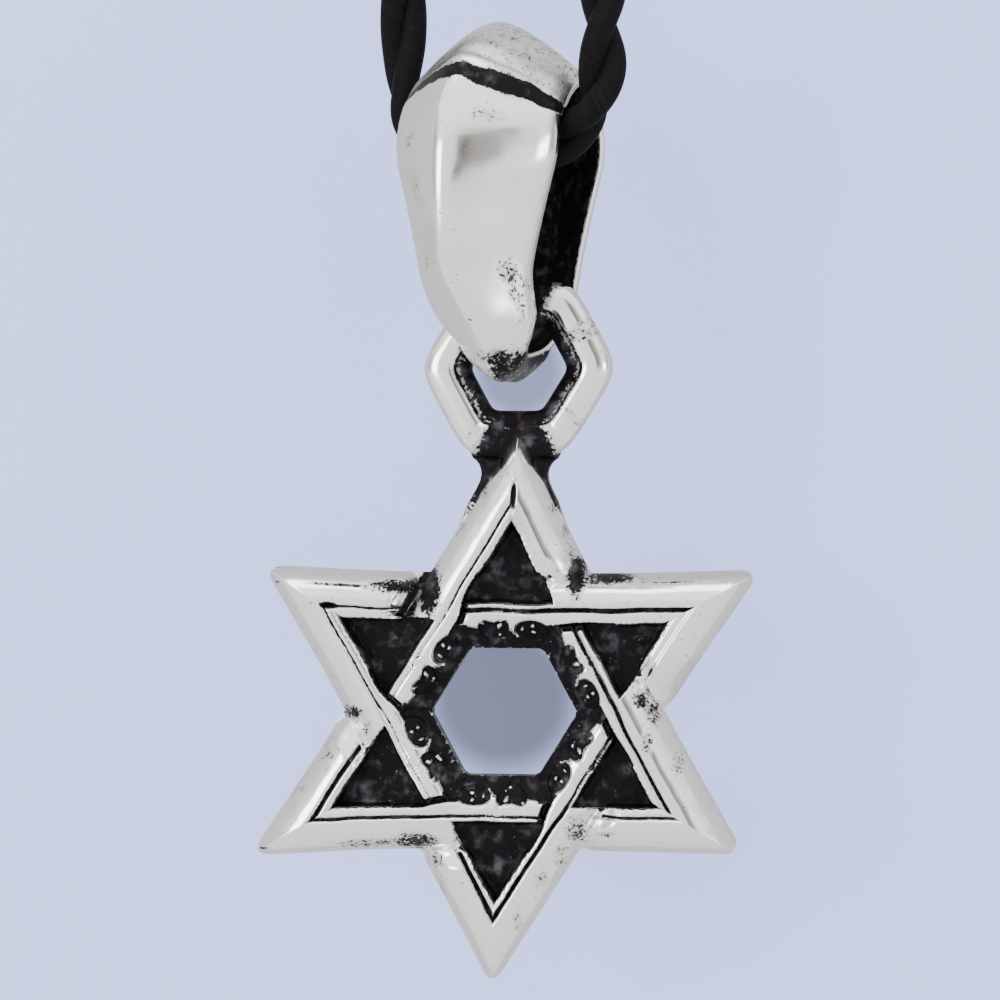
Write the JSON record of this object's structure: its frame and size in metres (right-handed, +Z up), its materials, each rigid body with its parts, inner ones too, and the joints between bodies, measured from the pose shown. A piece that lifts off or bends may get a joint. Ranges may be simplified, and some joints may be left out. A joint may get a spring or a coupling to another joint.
{
  "type": "star of david pendant",
  "caption": "Six-pointed star of woven bars with a pierced hexagonal middle, cast with a hexagonal ring that hangs in a tapered keeled bail on a twisted cord.",
  "frame": {"origin": "where the cord bears in the bail: the middle of the line between the inner rims at the bail's top, 47 mm above the lowest point of the star's casting and the bail", "axes": "+Z up as it hangs, -Y the way the front of the star faces, +X to the right seen from the front; the star lies flat across Y"},
  "size_m": [0.0234, 0.0118, 0.0661],
  "materials": {
    "oxidised_silver": "polished silver, blackened in the recesses",
    "black_cord": "silky twisted cord"
  },
  "bodies": {
    "hanger": {"bail": "oxidised_silver", "cord": "black_cord", "cord_knot": "black_cord"},
    "drop": {"star_drop": "oxidised_silver"}
  },
  "joints": [
    {"name": "drop_swing", "type": "hinge", "parent": "hanger", "child": "drop", "pos_m": [0, 0, -0.0116], "axis": [1, 0, 0], "range_deg": [-20, 20]}
  ]
}
